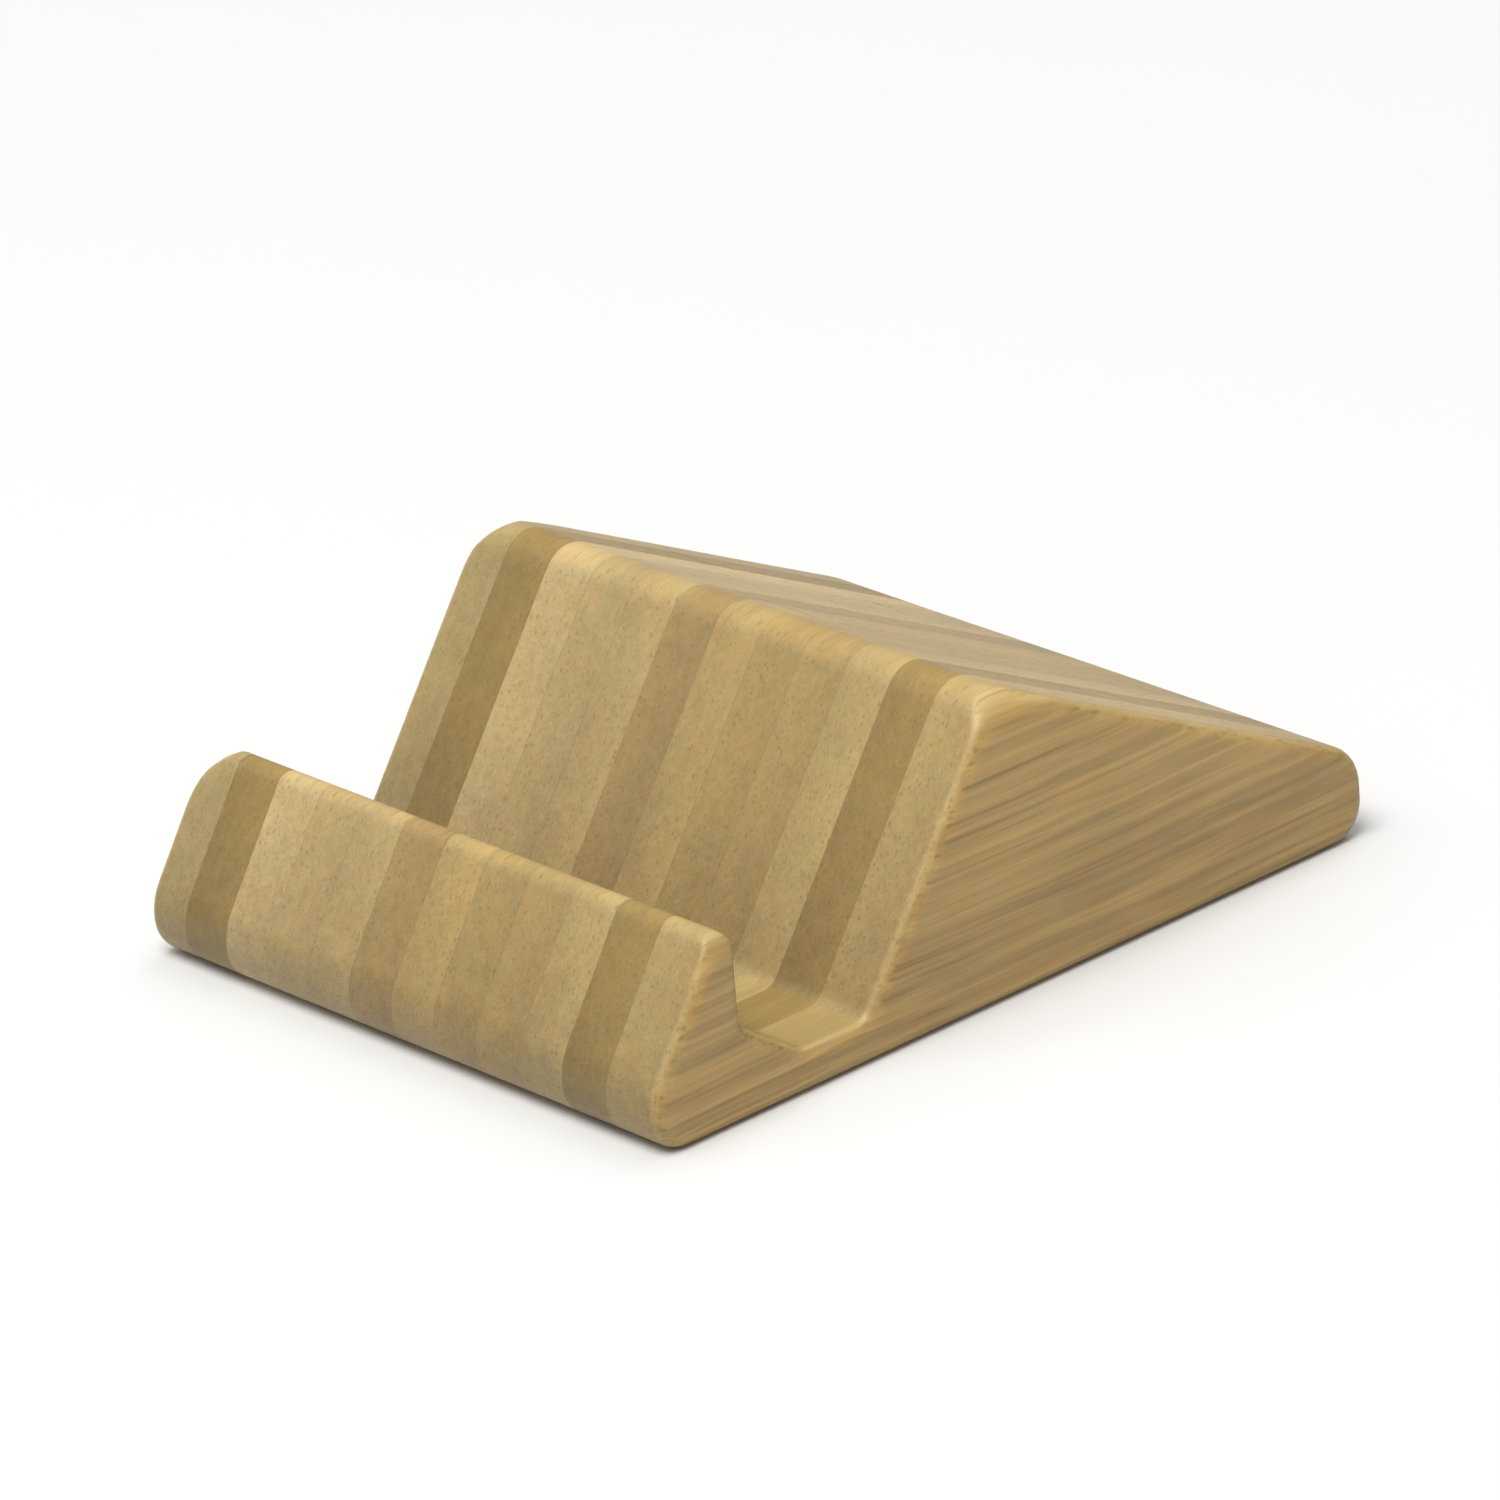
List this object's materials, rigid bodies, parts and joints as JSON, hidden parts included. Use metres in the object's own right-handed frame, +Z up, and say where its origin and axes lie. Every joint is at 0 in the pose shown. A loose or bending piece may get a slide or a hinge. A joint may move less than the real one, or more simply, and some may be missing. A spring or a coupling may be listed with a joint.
{
  "type": "tablet stand",
  "caption": "Small laminated bamboo block with a low sloping front lip and a slanted slot that holds a tablet leaning back on a ridge.",
  "frame": {"origin": "middle of the block's footprint, on the surface it stands on", "axes": "+X across the strips to the right seen from the front, +Y from the front lip to the tail, +Z up"},
  "size_m": [0.06, 0.076, 0.025],
  "materials": {
    "bamboo_01": "satin",
    "bamboo_02": "satin",
    "bamboo_03": "satin",
    "bamboo_04": "satin",
    "bamboo_05": "satin",
    "bamboo_06": "satin",
    "bamboo_07": "satin",
    "bamboo_08": "satin",
    "bamboo_09": "satin",
    "bamboo_10": "satin",
    "bamboo_11": "satin",
    "bamboo_12": "satin"
  },
  "bodies": {
    "root": {"strip_01": "bamboo_01", "strip_02": "bamboo_02", "strip_03": "bamboo_03", "strip_04": "bamboo_04", "strip_05": "bamboo_05", "strip_06": "bamboo_06", "strip_07": "bamboo_07", "strip_08": "bamboo_08", "strip_09": "bamboo_09", "strip_10": "bamboo_10", "strip_11": "bamboo_11", "strip_12": "bamboo_12"}
  },
  "joints": []
}
